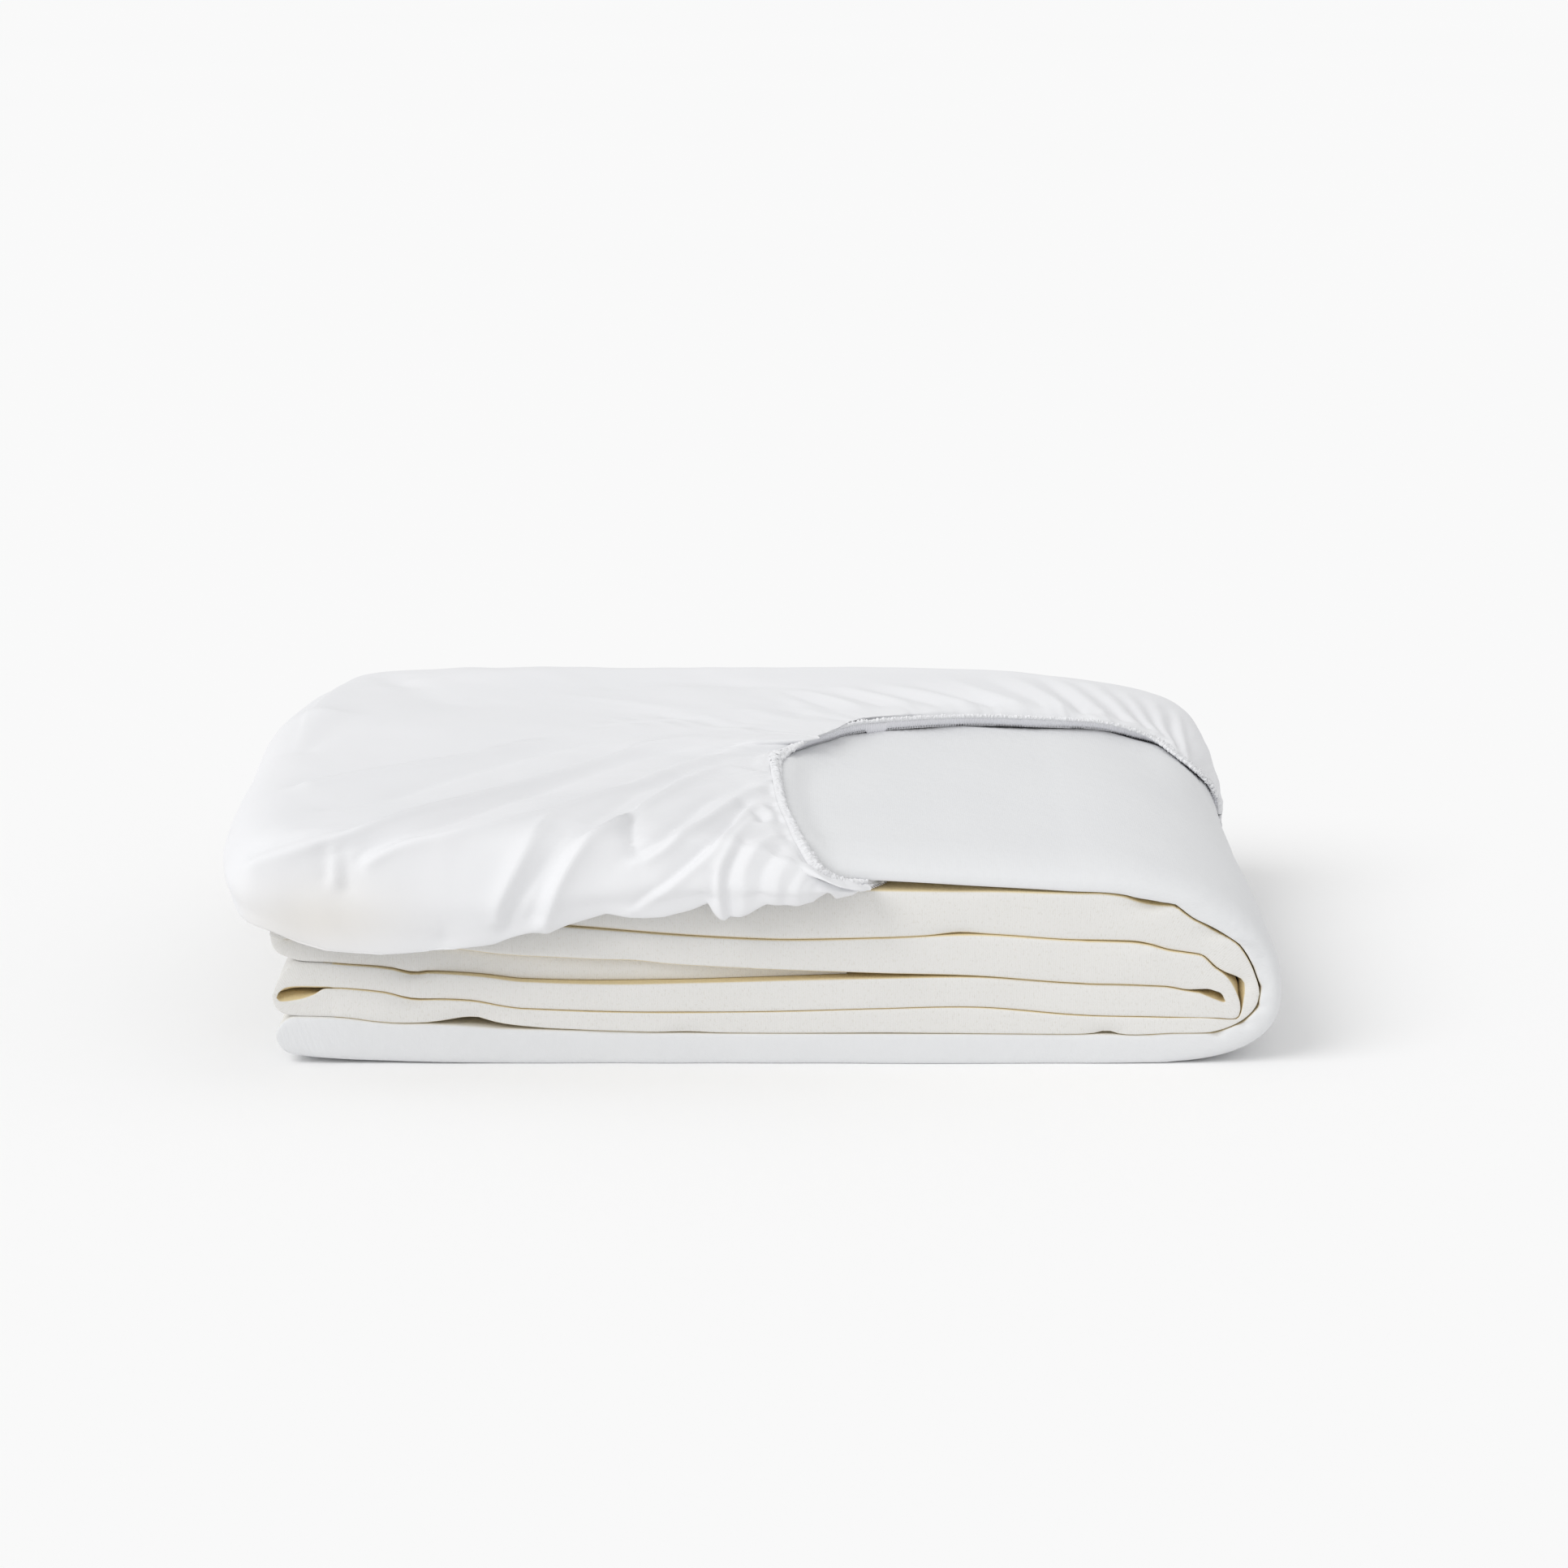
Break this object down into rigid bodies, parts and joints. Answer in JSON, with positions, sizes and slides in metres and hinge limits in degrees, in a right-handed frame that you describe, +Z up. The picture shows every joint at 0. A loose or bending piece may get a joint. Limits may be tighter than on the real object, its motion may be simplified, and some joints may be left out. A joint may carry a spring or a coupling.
{
  "type": "folded mattress protector",
  "caption": "Knitted and coated mattress protector folded back and forth into a low pile, with its thin elastic-edged skirt pulled over an end as a gathered pocket.",
  "frame": {"origin": "middle of the bounding box, on the surface that the pile rests on", "axes": "+X along the folds, from the end covered by the skirt to the open end; +Y from the folded front edges to the back; +Z up"},
  "size_m": [0.4452, 0.3268, 0.1108],
  "materials": {
    "coated_knit": "matte knit, cream on one face and white on the other",
    "microfibre": "soft white microfibre with fine gathers",
    "elastic": "ribbed elastic, matte"
  },
  "bodies": {
    "root": {"top_panel": "coated_knit", "skirt": "microfibre", "skirt_elastic": "elastic"}
  },
  "joints": []
}
